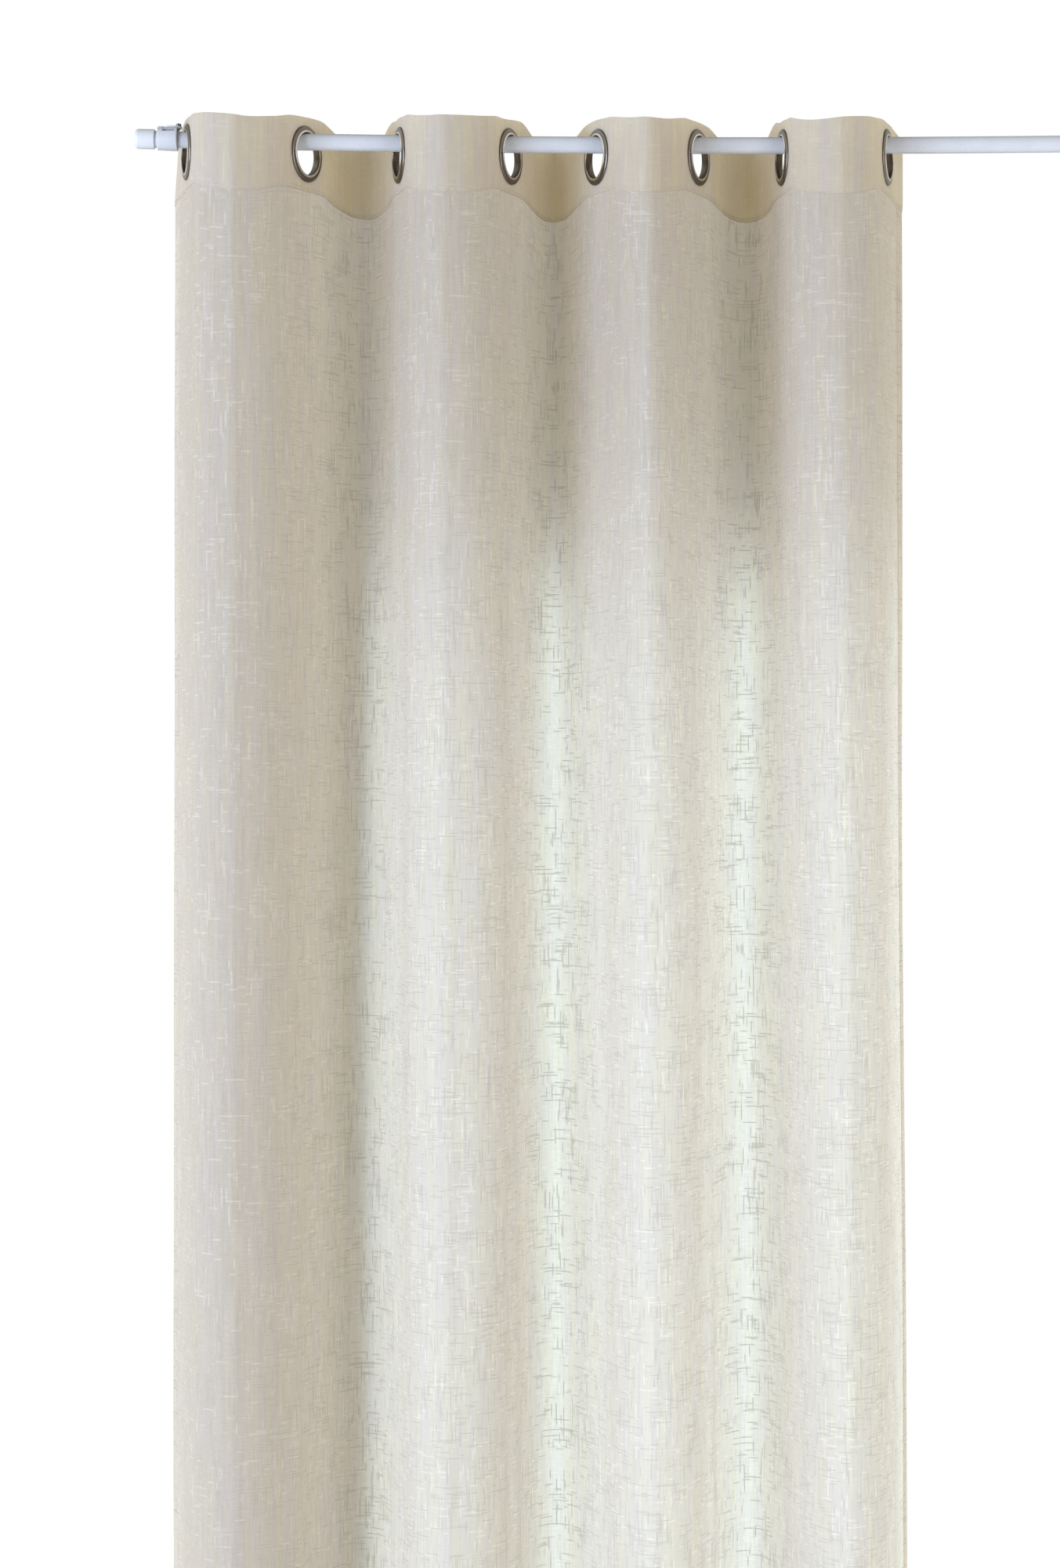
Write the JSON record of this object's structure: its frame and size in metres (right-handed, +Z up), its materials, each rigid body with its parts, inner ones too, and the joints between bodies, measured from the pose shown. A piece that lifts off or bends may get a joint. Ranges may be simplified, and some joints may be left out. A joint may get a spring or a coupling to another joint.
{
  "type": "net curtain with curtain rod",
  "caption": "Semi-sheer slub-weave net curtain with metal eyelets, hanging in deep folds from a slim white rod held by two wall brackets.",
  "frame": {"origin": "on the back of the left bracket's foot, midway between its two screws, where it meets the wall", "axes": "+X to the right along the rod, +Y into the wall with the room towards -Y, +Z up"},
  "size_m": [1.2002, 0.1743, 2.4308],
  "materials": {
    "net_cloth": "semi-sheer ecru slub weave",
    "heading_cloth": "doubled, stiffened ecru slub weave, almost opaque",
    "dark_nickel": "dark antique nickel with a polished raised bead",
    "white_lacquer": "satin white lacquer",
    "white_plastic": "semi-gloss white plastic",
    "screw_steel": "dark zinc-plated steel"
  },
  "bodies": {
    "root": {"curtain_panel": "net_cloth", "heading_band": "heading_cloth", "ring_1": "dark_nickel", "ring_2": "dark_nickel", "ring_3": "dark_nickel", "ring_4": "dark_nickel", "ring_5": "dark_nickel", "ring_6": "dark_nickel", "ring_7": "dark_nickel", "ring_8": "dark_nickel", "rod": "white_lacquer", "end_cap_left": "white_plastic", "end_cap_right": "white_plastic", "bracket_left": "white_lacquer", "bracket_right": "white_lacquer", "clamp_screw_left": "screw_steel", "clamp_screw_right": "screw_steel", "wall_screw_left_upper": "screw_steel", "wall_screw_left_lower": "screw_steel", "wall_screw_right_upper": "screw_steel", "wall_screw_right_lower": "screw_steel"}
  },
  "joints": []
}
